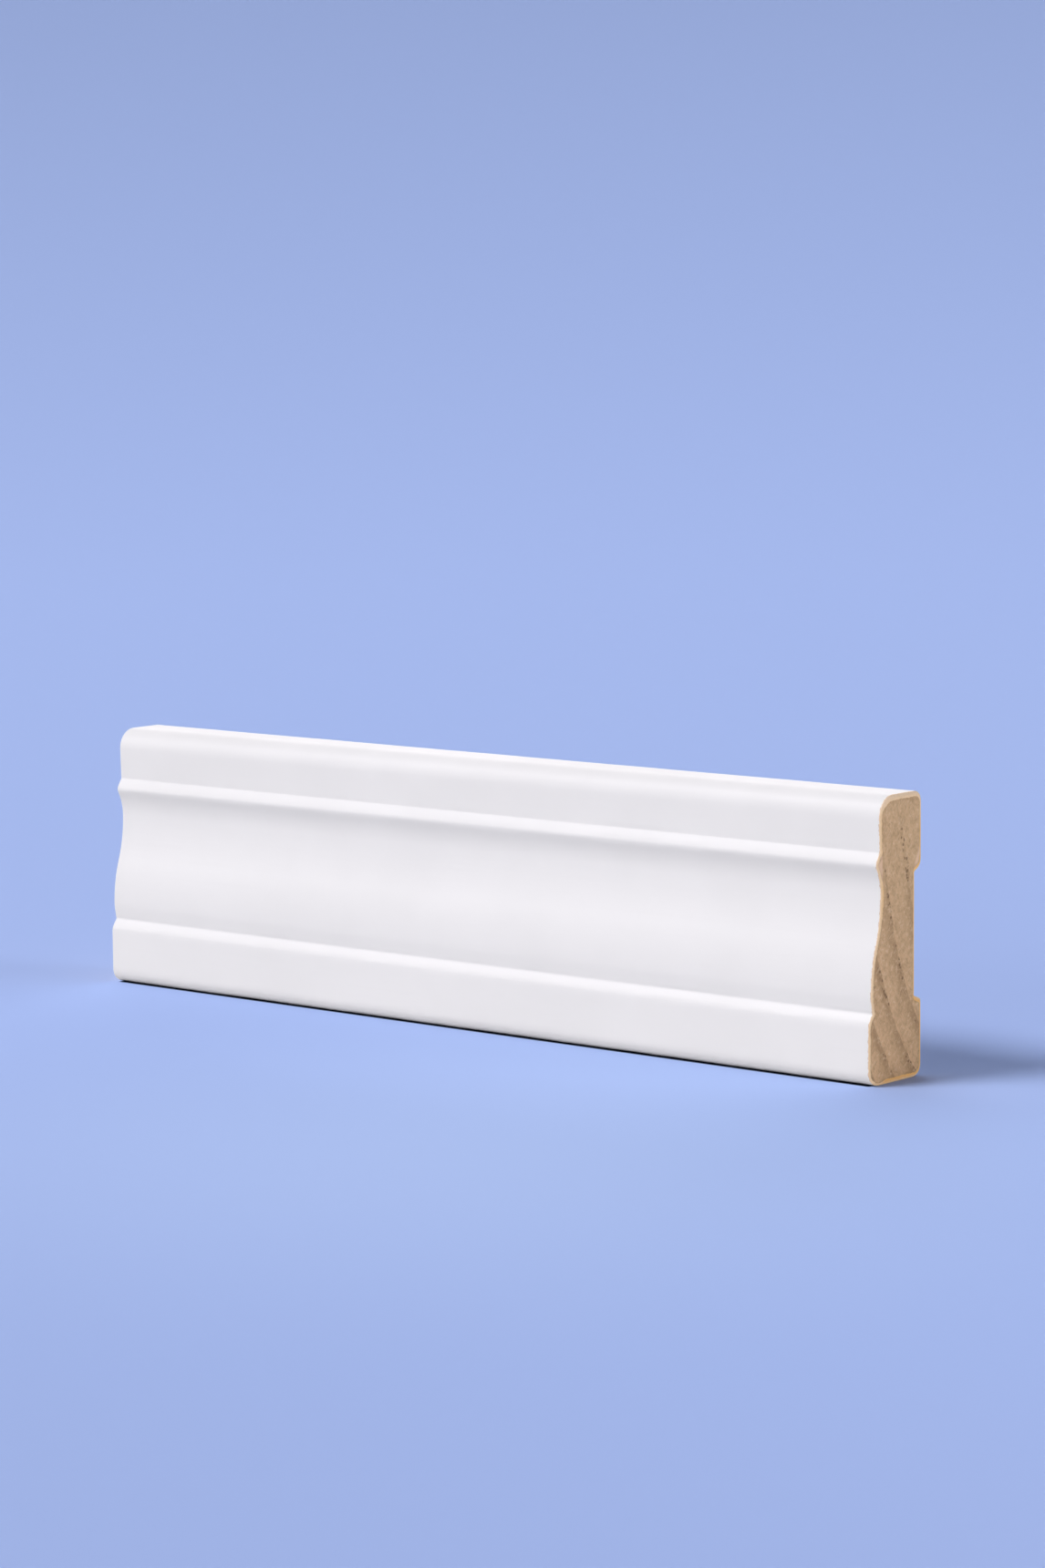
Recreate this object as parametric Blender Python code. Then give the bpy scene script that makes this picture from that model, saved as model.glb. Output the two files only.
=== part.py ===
"""A short length of primed pine casing moulding, standing on its thick long edge.

The moulding is one solid. Its section is one closed outline, drawn as a flat curve and run along
the length, and each end is cut square with a fine eased arris. +X runs along the length, the
moulded face looks towards -Y, the back that goes against a wall looks towards +Y, and +Z runs from
the thick edge up to the thin edge. The origin is at the middle of the underside.
"""

import math

import bmesh
import bpy
from mathutils import Matrix, Vector

# Overall sizes in metres
LENGTH = 0.210
WIDTH = 0.05715
THICK_EDGE = 0.0175

# The long edges: how far each corner is rounded
THIN_FACE_ROUND = 0.0043
THIN_BACK_ROUND = 0.0020
THICK_FACE_ROUND = 0.0030
THICK_BACK_ROUND = 0.0023

# The moulded face: how deep each part of it is cut back from the thick edge's face
THIN_FLAT_CUT = 0.0034
BEAD_ROOT_CUT = 0.0037
BEAD_NOSE_CUT = 0.0023
WAIST_CUT = 0.0040
BELLY_CUT = 0.0008
QUIRK_CUT = 0.0013

# The moulded face from the thin edge down: how tall each part of it is
THIN_FLAT_HEIGHT = 0.0111
BEAD_RISE_HEIGHT = 0.0023
BEAD_FALL_HEIGHT = 0.0036
WAIST_HEIGHT = 0.0026

# The moulded face from the thick edge up: how tall each part of it is
THICK_FLAT_HEIGHT = 0.0124
STEP_HEIGHT = 0.0020
QUIRK_HEIGHT = 0.0030
BELLY_HEIGHT = 0.0005

# The rounds and hollows between the parts of the face
BEAD_ROOT_HOLLOW = 0.0005
BEAD_NOSE_ROUND = 0.0011
BEAD_FOOT_HOLLOW = 0.0054
BELLY_ROUND = 0.0060
QUIRK_HOLLOW = 0.0005
STEP_ROUND = 0.0008

# The back: two flat feet with a shallow relief between them
RELIEF_DEPTH = 0.00225
LOWER_FOOT_HEIGHT = 0.0155
LOWER_SHOULDER_HEIGHT = 0.0009
LOWER_FOOT_ROUND = 0.0004
UPPER_FOOT_HEIGHT = 0.0150
UPPER_SHOULDER_HEIGHT = 0.0011
UPPER_FOOT_ROUND = 0.0019
RELIEF_HOLLOW = 0.0005

# The fine arris around each cut end
END_ARRIS = 0.0004

# How finely the curves are stepped
ROUND_STEP = math.radians(11.0)
OGEE_STEPS = 9
# A round may use up to this share of the shorter straight beside it
ROUND_SHARE = 0.48
# Points nearer to each other than this are one
WELD_DISTANCE = 0.000004
# Faces that lean nearer to the length's direction than this belong to a cut end
END_LEAN = math.radians(60.0)
# Edges that turn by less than this are shaded as one curve
SMOOTH_ANGLE = math.radians(25.0)

COLLECTION = "casing_moulding"
PRIMER_WHITE = (0.80, 0.80, 0.81)
PRIMER_ROUGHNESS = 0.35
PINE_TAN = (0.44, 0.30, 0.19)
PINE_ROUGHNESS = 0.70


def empty_scene():
    """Remove every object that the scene starts with."""
    for obj in list(bpy.data.objects):
        bpy.data.objects.remove(obj, do_unlink=True)


def finish(name, colour, roughness):
    """Return a plain material with one colour and roughness."""
    material = bpy.data.materials.new(name)
    material.use_nodes = True
    shader = material.node_tree.nodes["Principled BSDF"]
    shader.inputs["Base Color"].default_value = (*colour, 1.0)
    shader.inputs["Roughness"].default_value = roughness
    shader.inputs["Metallic"].default_value = 0.0
    return material


def ogee(upper, lower):
    """Return points down a reverse curve of two equal arcs, upright at both of its ends.

    The arcs meet on the line between the ends, where both turn by the same angle from upright.
    """
    swell = lower[0] - upper[0]
    drop = upper[1] - lower[1]
    turn = 2.0 * math.atan2(swell, drop)
    radius = drop / (2.0 * math.sin(turn))
    angles = [turn * step / OGEE_STEPS for step in range(OGEE_STEPS + 1)]
    hollow = [(upper[0] + radius * (1.0 - math.cos(a)), upper[1] - radius * math.sin(a)) for a in angles]
    swelling = [(lower[0] - radius * (1.0 - math.cos(a)), lower[1] + radius * math.sin(a)) for a in angles]
    return hollow + swelling[-2::-1]


def rounded_corner(before, corner, after, radius):
    """Return points along the arc that rounds a corner of the outline."""
    corner = Vector(corner)
    leg_in = Vector(before) - corner
    leg_out = Vector(after) - corner
    half = leg_in.angle(leg_out) / 2.0
    reach = min(radius / math.tan(half), ROUND_SHARE * min(leg_in.length, leg_out.length))
    towards_centre = (leg_in.normalized() + leg_out.normalized()).normalized()
    centre = corner + towards_centre * (reach / math.cos(half))
    start = corner + leg_in.normalized() * reach - centre
    end = corner + leg_out.normalized() * reach - centre
    sweep = -start.angle_signed(end)
    steps = max(2, math.ceil(abs(sweep) / ROUND_STEP))
    turns = [Matrix.Rotation(sweep * step / steps, 2) for step in range(steps + 1)]
    return [tuple(centre + turn @ start) for turn in turns]


def face_corners():
    """Return the moulded face from the thin edge down, as (thickness, height, round) corners."""
    face = THICK_EDGE
    bead_root = WIDTH - THIN_FLAT_HEIGHT
    bead_nose = bead_root - BEAD_RISE_HEIGHT
    bead_foot = bead_nose - BEAD_FALL_HEIGHT
    step_foot = THICK_FLAT_HEIGHT
    quirk = step_foot + STEP_HEIGHT
    belly = quirk + QUIRK_HEIGHT
    curve = ogee((face - WAIST_CUT, bead_foot - WAIST_HEIGHT), (face - BELLY_CUT, belly + BELLY_HEIGHT))
    return [
        (face - THIN_FLAT_CUT, WIDTH, THIN_FACE_ROUND),
        (face - BEAD_ROOT_CUT, bead_root, BEAD_ROOT_HOLLOW),
        (face - BEAD_NOSE_CUT, bead_nose, BEAD_NOSE_ROUND),
        (face - WAIST_CUT, bead_foot, BEAD_FOOT_HOLLOW),
        *[(thickness, height, 0.0) for thickness, height in curve],
        (face - BELLY_CUT, belly, BELLY_ROUND),
        (face - QUIRK_CUT, quirk, QUIRK_HOLLOW),
        (face, step_foot, STEP_ROUND),
        (face, 0.0, THICK_FACE_ROUND),
    ]


def back_corners():
    """Return the back from the thick edge up, as (thickness, height, round) corners."""
    upper_foot = WIDTH - UPPER_FOOT_HEIGHT
    return [
        (0.0, 0.0, THICK_BACK_ROUND),
        (0.0, LOWER_FOOT_HEIGHT, LOWER_FOOT_ROUND),
        (RELIEF_DEPTH, LOWER_FOOT_HEIGHT + LOWER_SHOULDER_HEIGHT, RELIEF_HOLLOW),
        (RELIEF_DEPTH, upper_foot - UPPER_SHOULDER_HEIGHT, RELIEF_HOLLOW),
        (0.0, upper_foot, UPPER_FOOT_ROUND),
        (0.0, WIDTH, THIN_BACK_ROUND),
    ]


def section_outline():
    """Return the whole section as points, with every round stepped."""
    corners = face_corners() + back_corners()
    outline = []
    for index, (thickness, height, radius) in enumerate(corners):
        corner = (thickness, height)
        if radius == 0.0:
            outline.append(corner)
            continue
        before = corners[index - 1][:2]
        after = corners[(index + 1) % len(corners)][:2]
        outline.extend(rounded_corner(before, corner, after, radius))
    return outline


def section_curve(name):
    """Return the section as a filled flat curve, run along X with its ends eased."""
    curve = bpy.data.curves.new(name + "_section", "CURVE")
    curve.dimensions = "2D"
    curve.fill_mode = "BOTH"
    curve.extrude = LENGTH / 2.0 - END_ARRIS
    curve.bevel_depth = END_ARRIS
    curve.bevel_resolution = 0
    curve.offset = -END_ARRIS
    curve.render_resolution_u = 0
    points = section_outline()
    spline = curve.splines.new("POLY")
    spline.points.add(len(points) - 1)
    for point, (thickness, height) in zip(spline.points, points):
        point.co = (thickness, height, 0.0, 1.0)
    spline.use_cyclic_u = True
    drawn = bpy.data.objects.new(name + "_section", curve)
    drawn.rotation_euler = (math.pi / 2.0, 0.0, -math.pi / 2.0)
    drawn.location = (0.0, THICK_EDGE / 2.0, 0.0)
    return drawn


def closed_mesh(drawn, name):
    """Return the drawn curve as a mesh, with its caps welded on and its faces turned out."""
    evaluated = drawn.evaluated_get(bpy.context.evaluated_depsgraph_get())
    mesh = bpy.data.meshes.new_from_object(evaluated)
    mesh.name = name
    body = bmesh.new()
    body.from_mesh(mesh)
    bmesh.ops.remove_doubles(body, verts=body.verts, dist=WELD_DISTANCE)
    bmesh.ops.recalc_face_normals(body, faces=body.faces)
    body.to_mesh(mesh)
    body.free()
    return mesh


def dress(mesh, face_finish, end_finish):
    """Give the long faces one finish and the cut ends, with their arrises, the other."""
    mesh.materials.clear()
    mesh.materials.append(face_finish)
    mesh.materials.append(end_finish)
    for polygon in mesh.polygons:
        leans_to_an_end = abs(polygon.normal.z) > math.cos(END_LEAN)
        polygon.material_index = 1 if leans_to_an_end else 0
    mesh.shade_smooth()
    mesh.set_sharp_from_angle(angle=SMOOTH_ANGLE)


def moulding(name, collection, face_finish, end_finish):
    """Make the moulding as one closed solid from its drawn section."""
    drawn = section_curve(name)
    collection.objects.link(drawn)
    bpy.context.view_layer.update()
    mesh = closed_mesh(drawn, name)
    dress(mesh, face_finish, end_finish)
    solid = bpy.data.objects.new(name, mesh)
    solid.matrix_world = drawn.matrix_world.copy()
    collection.objects.link(solid)
    bpy.data.objects.remove(drawn, do_unlink=True)
    return solid


def main():
    """Build the casing moulding in its own collection."""
    empty_scene()
    collection = bpy.data.collections.new(COLLECTION)
    bpy.context.scene.collection.children.link(collection)
    primer = finish("white_primer", PRIMER_WHITE, PRIMER_ROUGHNESS)
    pine = finish("bare_pine", PINE_TAN, PINE_ROUGHNESS)
    moulding("casing", collection, primer, pine)


main()
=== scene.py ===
"""Looks of a short length of primed pine casing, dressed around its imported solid.

The length stands on its thick edge: +X runs along it, the moulded face looks towards -Y and +Z runs up
to the thin edge. One fine closed surface stands for the solid. Its section is drawn once as a complex
outline, thickness from the back as the real part and height as the imaginary part, and carried along X.
The long faces wear satin white primer, and the two cut ends show bare sawn pine.
"""

import logging
import math
from dataclasses import dataclass, field
from enum import Enum
from functools import partial, reduce

import bpy
import numpy as np
from mathutils import Matrix, Vector


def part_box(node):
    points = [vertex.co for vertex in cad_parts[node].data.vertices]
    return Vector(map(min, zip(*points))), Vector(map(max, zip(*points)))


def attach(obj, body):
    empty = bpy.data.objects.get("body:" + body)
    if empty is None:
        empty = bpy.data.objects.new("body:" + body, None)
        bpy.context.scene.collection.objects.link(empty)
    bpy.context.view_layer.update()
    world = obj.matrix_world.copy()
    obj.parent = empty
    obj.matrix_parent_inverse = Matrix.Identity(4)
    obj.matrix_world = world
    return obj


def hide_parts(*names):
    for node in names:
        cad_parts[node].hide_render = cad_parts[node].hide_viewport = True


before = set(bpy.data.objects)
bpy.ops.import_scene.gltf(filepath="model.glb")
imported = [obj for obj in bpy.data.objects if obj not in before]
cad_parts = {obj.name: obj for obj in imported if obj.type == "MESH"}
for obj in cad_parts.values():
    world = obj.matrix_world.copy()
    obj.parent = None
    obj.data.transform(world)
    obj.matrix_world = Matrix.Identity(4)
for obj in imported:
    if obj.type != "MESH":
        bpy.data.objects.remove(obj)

LOG = logging.getLogger("casing_moulding")

Colour = tuple[float, float, float]
Place = tuple[float, float, float]
# The two values between which something changes
Levels = tuple[float, float]
# The size of a noise, and the two of its levels between which it is stepped
Patches = tuple[float, float, float]


class CutEnd(Enum):
    """The two square-cut ends, by the side of X that they look towards."""

    LEFT = -1
    RIGHT = 1


class Coating(Enum):
    """What each face of the length is finished with, by its place in the piece's material list."""

    PRIMER = 0
    BARE_PINE = 1


@dataclass(frozen=True)
class CasingSection:
    """The section's sizes in metres, and the outline that they give.

    Cuts are taken back from the thick edge's face, heights run from the edge that they are named for.
    """

    width: float = 0.05715
    thick_edge: float = 0.0175
    thin_face_round: float = 0.0043
    thin_back_round: float = 0.0020
    thick_face_round: float = 0.0030
    thick_back_round: float = 0.0023
    thin_flat_cut: float = 0.0034
    bead_root_cut: float = 0.0037
    bead_nose_cut: float = 0.0023
    waist_cut: float = 0.0040
    belly_cut: float = 0.0008
    quirk_cut: float = 0.0013
    thin_flat_height: float = 0.0111
    bead_rise_height: float = 0.0023
    bead_fall_height: float = 0.0036
    waist_height: float = 0.0026
    thick_flat_height: float = 0.0124
    step_height: float = 0.0020
    quirk_height: float = 0.0030
    belly_height: float = 0.0005
    bead_root_hollow: float = 0.0005
    bead_nose_round: float = 0.0011
    bead_foot_hollow: float = 0.0105
    belly_round: float = 0.0060
    quirk_hollow: float = 0.0008
    step_round: float = 0.0013
    relief_depth: float = 0.00225
    lower_foot_height: float = 0.0155
    lower_shoulder_height: float = 0.0009
    lower_foot_round: float = 0.0004
    upper_foot_height: float = 0.0150
    upper_shoulder_height: float = 0.0011
    upper_foot_round: float = 0.0019
    relief_hollow: float = 0.0005
    ogee_steps: int = 24
    arc_steps: int = 16
    round_share: float = 0.92
    round_weight: float = 0.0040
    same_point: float = 1e-9

    def ogee(self, upper: complex, lower: complex) -> np.ndarray:
        """Draw the reverse curve as two equal arcs, upright at both ends.

        Both arcs turn by twice the angle that the line between the ends leans, so they meet on its
        middle, and the radius is the drop over twice the sine of that turn.

        Args:
            upper: The curve's top end, thickness and height.
            lower: The curve's bottom end.

        Returns:
            Complex points from the top end down.
        """
        swell = (lower - upper).real
        drop = (upper - lower).imag
        turn = 2.0 * math.atan2(swell, drop)
        radius = drop / (2.0 * math.sin(turn))
        angles = np.linspace(0.0, turn, self.ogee_steps + 1)
        reach = radius * (1.0 - np.cos(angles)) - 1j * radius * np.sin(angles)
        return np.concatenate([upper + reach, (lower - reach)[-2::-1]])

    def corners(self) -> tuple[np.ndarray, np.ndarray, int]:
        """List the outline's corners, face from the top down and then back from the bottom up.

        Returns:
            Complex corners, the round at each, and the place of the thick edge's face corner.
        """
        face = self.thick_edge
        bead_root = self.width - self.thin_flat_height
        bead_nose = bead_root - self.bead_rise_height
        bead_foot = bead_nose - self.bead_fall_height
        quirk = self.thick_flat_height + self.step_height
        belly = quirk + self.quirk_height
        upper_foot = self.width - self.upper_foot_height
        lower_shoulder = self.lower_foot_height + self.lower_shoulder_height
        above = [
            (face - self.thin_flat_cut + 1j * self.width, self.thin_face_round),
            (face - self.bead_root_cut + 1j * bead_root, self.bead_root_hollow),
            (face - self.bead_nose_cut + 1j * bead_nose, self.bead_nose_round),
            (face - self.waist_cut + 1j * bead_foot, self.bead_foot_hollow),
        ]
        reverse = self.ogee(
            face - self.waist_cut + 1j * (bead_foot - self.waist_height),
            face - self.belly_cut + 1j * (belly + self.belly_height),
        )
        below = [
            (face - self.belly_cut + 1j * belly, self.belly_round),
            (face - self.quirk_cut + 1j * quirk, self.quirk_hollow),
            (face + 1j * self.thick_flat_height, self.step_round),
            (face, self.thick_face_round),
        ]
        back = [
            (0.0, self.thick_back_round),
            (1j * self.lower_foot_height, self.lower_foot_round),
            (self.relief_depth + 1j * lower_shoulder, self.relief_hollow),
            (self.relief_depth + 1j * (upper_foot - self.upper_shoulder_height), self.relief_hollow),
            (1j * upper_foot, self.upper_foot_round),
            (1j * self.width, self.thin_back_round),
        ]
        points = np.concatenate([[c for c, _ in above], reverse, [c for c, _ in below + back]])
        rounds = np.concatenate([[r for _, r in above], np.zeros(len(reverse)), [r for _, r in below + back]])
        return points, rounds, len(above) + len(reverse) + len(below) - 1

    def rounded(self, points: np.ndarray, rounds: np.ndarray) -> np.ndarray:
        """Round every corner of the closed outline with an arc that touches both of its sides.

        The arc starts at the round over the tangent of half the corner's angle from the corner, but no
        further than a share of the shorter side. A number turned by an angle is that number times the
        exponential of the imaginary angle, which carries the arc's start round to its end.

        Args:
            points: Complex corners.
            rounds: The radius at each corner.

        Returns:
            One row of points for each corner.
        """
        to_last = np.roll(points, 1) - points
        to_next = np.roll(points, -1) - points
        opening = np.angle(to_next * np.conj(to_last))
        shorter = np.minimum(np.abs(to_last), np.abs(to_next))
        reach = np.minimum(rounds / np.tan(np.abs(opening) / 2.0), self.round_share * shorter)
        along_last = to_last / np.abs(to_last)
        along_next = to_next / np.abs(to_next)
        centre = points + along_last * np.exp(0.5j * opening) * reach / np.cos(opening / 2.0)
        start = points + along_last * reach - centre
        end = points + along_next * reach - centre
        sweep = np.angle(end * np.conj(start))
        shares = np.linspace(0.0, 1.0, self.arc_steps + 1)
        return centre[:, None] + start[:, None] * np.exp(1j * sweep[:, None] * shares)

    def respaced(self, side: np.ndarray, count: int) -> np.ndarray:
        """Spread a number of points along one side, closer together where it turns.

        A stretch counts as its length plus the round weight times the angle turned at its ends, and the
        points stand at equal steps of that sum.

        Args:
            side: Complex points along the side.
            count: How many points to give back, ends included.

        Returns:
            The side with that many points.
        """
        side = side[np.append(True, np.abs(np.diff(side)) > self.same_point)]
        legs = np.diff(side)
        turns = np.abs(np.angle(legs[1:] * np.conj(legs[:-1])))
        shared = np.append(turns, 0.0) + np.append(0.0, turns)
        along = np.append(0.0, np.cumsum(np.abs(legs) + self.round_weight * shared / 2.0))
        return np.interp(np.linspace(0.0, along[-1], count), along, side)

    def sides(self, tall: int, deep: int) -> list[np.ndarray]:
        """Part the outline at the middle of its four edge rounds.

        Args:
            tall: How many points the moulded face and the back have.
            deep: How many points the two edges have.

        Returns:
            The face from the top down, the thick edge from front to back, the back from the bottom up
            and the thin edge from back to front, each with both of its ends.
        """
        points, rounds, thick_face = self.corners()
        outline = self.rounded(points, rounds).ravel()
        per_corner = self.arc_steps + 1
        middle = self.arc_steps // 2
        face_start = middle
        face_end = thick_face * per_corner + middle
        back_start = face_end + per_corner
        back_end = len(outline) - per_corner + middle
        return [
            self.respaced(outline[face_start:face_end + 1], tall),
            self.respaced(outline[face_end:back_start + 1], deep),
            self.respaced(outline[back_start:back_end + 1], tall),
            self.respaced(np.append(outline[back_end:], outline[:face_start + 1]), deep),
        ]


@dataclass(frozen=True)
class EasedEdge:
    """How the wood rounds over from a cut end to the long faces.

    At the far end, -X, the primer wraps over the first few rings of the round.
    """

    drop: float = 0.0004
    reach: float = 0.0010
    arris: float = 0.0004
    rings: int = 5
    primed_rings: int = 3

    def fall(self, inset: np.ndarray) -> np.ndarray:
        """Say how far the cut end falls back at a distance inside its outline.

        The fall is a quarter of an ellipse: the whole drop at the outline, nothing past the reach.

        Args:
            inset: Distances inside the outline.

        Returns:
            How far back from the end's plane each distance lies.
        """
        share = np.clip(1.0 - inset / self.reach, 0.0, 1.0)
        return self.drop * (1.0 - np.sqrt(1.0 - share ** 2))

    def insets(self) -> np.ndarray:
        """Space the arris rings, closest together at the outline, where the ease is steepest."""
        return self.arris * np.linspace(0.0, 1.0, self.rings + 1) ** 2


@dataclass(frozen=True)
class PaleWood:
    """Where the wood round a cut end is paler than the core.

    A pale rim follows the outline, wider along the thin and thick edges than along the face and the
    back. The bead and the upper foot's lower corner are pale too, each cut off by a straight chord.
    """

    height_share: float = 0.75
    bead_inset: float = 0.00045
    foot_inset: float = 0.0010
    chord_blur: float = 0.0003
    foot_reach: float = 0.0048

    def squeezed(self, points: np.ndarray) -> np.ndarray:
        """Shorten the heights, so that a distance counts for less across the two edges."""
        return points.real + 1j * self.height_share * points.imag

    def chords(self, section: CasingSection) -> list[tuple[complex, complex, float]]:
        """Draw the chords of the bead and of the foot's corner.

        Args:
            section: The section that they cut across.

        Returns:
            Each chord's ends, in the order in which the outline runs, and how far inside it the pale
            wood reaches.
        """
        bead_root = section.width - section.thin_flat_height
        bead_foot = bead_root - section.bead_rise_height - section.bead_fall_height
        shoulder = section.width - section.upper_foot_height - section.upper_shoulder_height
        bead = (
            section.thick_edge - section.bead_root_cut + 1j * bead_root,
            section.thick_edge - section.waist_cut + 1j * bead_foot,
            self.bead_inset,
        )
        foot = (section.relief_depth + 1j * shoulder, 1j * (shoulder + self.foot_reach), self.foot_inset)
        return [bead, foot]

    def beyond(self, points: np.ndarray, section: CasingSection) -> np.ndarray:
        """Mark the wood that lies beyond the chords.

        A point less the chord's start, turned back by the chord's own direction, has its place along the
        chord as real part and its distance beyond the chord as imaginary part. The mark grows from 0 to
        1 over the blur, starting inside the chord.

        Args:
            points: Complex points.
            section: The section that they lie in.

        Returns:
            A value from 0 to 1 for each point.
        """
        marks = np.zeros(points.shape)
        for start, end, inset in self.chords(section):
            run = end - start
            turned = (points - start) * np.conj(run) / np.abs(run)
            beside = (turned.real > 0.0) & (turned.real < np.abs(run))
            grown = np.clip((turned.imag + inset) / self.chord_blur, 0.0, 1.0)
            marks = np.where(beside, np.maximum(marks, grown), marks)
        return marks


@dataclass(frozen=True)
class PrimerFilm:
    """The uneven thickness of the primer, as sums of waves that only ever cut inwards."""

    film_depth: float = 0.000018
    pooled_depth: float = 0.00009
    waves: int = 40
    longest: float = 0.060
    shortest: float = 0.0022
    rounds: float = 11.0
    turn_for_full: float = 420.0
    calmness: float = 1.6
    film_coarseness: float = 4.0
    pooling_power: float = 1.5
    seed: int = 57

    def waviness(self, stations: np.ndarray, around: np.ndarray, shortest: float, seed: int) -> np.ndarray:
        """Add up cosines of random length and phase over the length and the way round the section.

        Each wave goes round the section a whole number of times, so that it meets itself.

        Args:
            stations: Places along X.
            around: Shares of the way round the section, 0 to 1.
            shortest: The shortest wave along X.
            seed: Which set of waves to draw.

        Returns:
            Values between 0 and 1, a row for each station.
        """
        draw = np.random.default_rng(seed)
        lengths = np.exp(draw.uniform(math.log(shortest), math.log(self.longest), self.waves))
        turns = np.rint(draw.normal(0.0, self.rounds, self.waves))
        phases = draw.uniform(0.0, math.tau, self.waves)
        angle = (
            math.tau * stations[:, None, None] / lengths
            + math.tau * around[None, :, None] * turns
            + phases
        )
        total = (np.cos(angle) * np.sqrt(lengths)).sum(axis=2)
        return 0.5 + 0.5 * np.tanh(total / (self.calmness * total.std()))

    def depth(self, stations: np.ndarray, around: np.ndarray, curvature: np.ndarray) -> np.ndarray:
        """Say how far each point of the long faces is sunk below the true section.

        The film's own unevenness is the same everywhere. Where the section turns sharply, primer has
        pooled in the hollows and pulled off the noses, so a coarser wave is added there, in proportion
        to the curvature.

        Args:
            stations: Places along X.
            around: Shares of the way round the section, 0 to 1.
            curvature: How sharply the section turns at each of them, in radians a metre.

        Returns:
            Depths in metres, a row for each station.
        """
        film = self.waviness(stations, around, self.film_coarseness * self.shortest, self.seed)
        pooled = self.waviness(stations, around, self.shortest, self.seed + 1)
        share = np.clip(curvature / self.turn_for_full, 0.0, 1.0) ** self.pooling_power
        return self.film_depth * film + self.pooled_depth * share * pooled


class Bench:
    """One material's node tree, built a node at a time on a Principled shader."""

    def __init__(self, name: str) -> None:
        """Start a material with its shader and the piece's object coordinates."""
        self.material = bpy.data.materials.new(name)
        self.material.use_nodes = True
        self.tree = self.material.node_tree
        self.shader = self.tree.nodes["Principled BSDF"]
        self.place = self.add("ShaderNodeTexCoord", {}).outputs["Object"]

    def put(self, socket: bpy.types.NodeSocket, value: object) -> None:
        """Link a socket to another node's output, or set its plain value."""
        if isinstance(value, bpy.types.NodeSocket):
            self.tree.links.new(value, socket)
        else:
            socket.default_value = value

    def add(self, kind: str, inputs: dict, **settings: object) -> bpy.types.Node:
        """Add one node.

        Args:
            kind: Blender's type name for it.
            inputs: What goes into its sockets, by their names or places.
            settings: Its other properties.

        Returns:
            The node.
        """
        node = self.tree.nodes.new(kind)
        for name, value in settings.items():
            setattr(node, name, value)
        for key, value in inputs.items():
            self.put(node.inputs[key], value)
        return node

    def maths(self, operation: str, first: object, second: object = 0.0) -> bpy.types.NodeSocket:
        """Work out one sum of two values."""
        return self.add("ShaderNodeMath", {0: first, 1: second}, operation=operation).outputs[0]

    def times(self, *values: object) -> bpy.types.NodeSocket:
        """Multiply values by each other, from the first to the last."""
        return reduce(partial(self.maths, "MULTIPLY"), values)

    def plus(self, *values: object) -> bpy.types.NodeSocket:
        """Add values up, from the first to the last."""
        return reduce(partial(self.maths, "ADD"), values)

    def distance(self, place: object, point: Place) -> bpy.types.NodeSocket:
        """Measure how far the coordinates are from a point."""
        inputs = {0: place, 1: point}
        return self.add("ShaderNodeVectorMath", inputs, operation="DISTANCE").outputs["Value"]

    def scaled(self, stretch: Place) -> bpy.types.NodeSocket:
        """Stretch the object coordinates, so that a pattern runs long along one axis."""
        return self.add("ShaderNodeMapping", {"Vector": self.place, "Scale": stretch}).outputs[0]

    def tilted(self, lean: float, stretch: float) -> bpy.types.NodeSocket:
        """Turn the coordinates about X and stretch them, so that a pattern lies in slanting strokes.

        Args:
            lean: The strokes' angle from the horizontal, in radians.
            stretch: The share that the coordinate along the strokes is shortened to.

        Returns:
            The coordinates.
        """
        inputs = {"Vector": self.place, "Rotation": (lean, 0.0, 0.0), "Scale": (1.0, stretch, 1.0)}
        return self.add("ShaderNodeMapping", inputs, vector_type="TEXTURE").outputs[0]

    def noise(self, size: float, detail: float = 2.0, place: object = None) -> bpy.types.NodeSocket:
        """Make cloudy noise.

        Args:
            size: How big its blobs are, in metres.
            detail: How many finer layers are laid over them.
            place: The coordinates to read, or the plain object coordinates.

        Returns:
            Its value, about 0.5 on average.
        """
        vector = self.place if place is None else place
        inputs = {"Vector": vector, "Scale": 1.0 / size, "Detail": detail}
        return self.add("ShaderNodeTexNoise", inputs).outputs[0]

    def rise(self, value: object, low: float, high: float) -> bpy.types.NodeSocket:
        """Step smoothly from 0 to 1 as a value goes from low to high."""
        inputs = {"Value": value, "From Min": low, "From Max": high}
        return self.add("ShaderNodeMapRange", inputs, interpolation_type="SMOOTHSTEP").outputs[0]

    def spread(self, value: object, low: float, high: float) -> bpy.types.NodeSocket:
        """Spread a value of 0 to 1 evenly from low to high."""
        return self.add("ShaderNodeMapRange", {"Value": value, "To Min": low, "To Max": high}).outputs[0]

    def blend(self, share: object, first: object, second: object) -> bpy.types.NodeSocket:
        """Mix two colours by a share of the second."""
        colours = [(*c, 1.0) if isinstance(c, tuple) else c for c in (first, second)]
        inputs = {0: share, 6: colours[0], 7: colours[1]}
        return self.add("ShaderNodeMix", inputs, data_type="RGBA").outputs[2]

    def patches(self, size: float, none: float, full: float) -> bpy.types.NodeSocket:
        """Step noise of one size smoothly from 0 to 1 between two of its levels."""
        return self.rise(self.noise(size), none, full)

    def swing(self, size: float, reach: float, detail: float = 2.0) -> bpy.types.NodeSocket:
        """Spread noise of one size from a reach below nothing to the same reach above."""
        return self.spread(self.noise(size, detail), -reach, reach)

    def laid(self, base: object, colour: object, share: object, strength: float) -> bpy.types.NodeSocket:
        """Lay a colour over another by a share, at no more than a given strength."""
        return self.blend(self.times(share, strength), base, colour)

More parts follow.
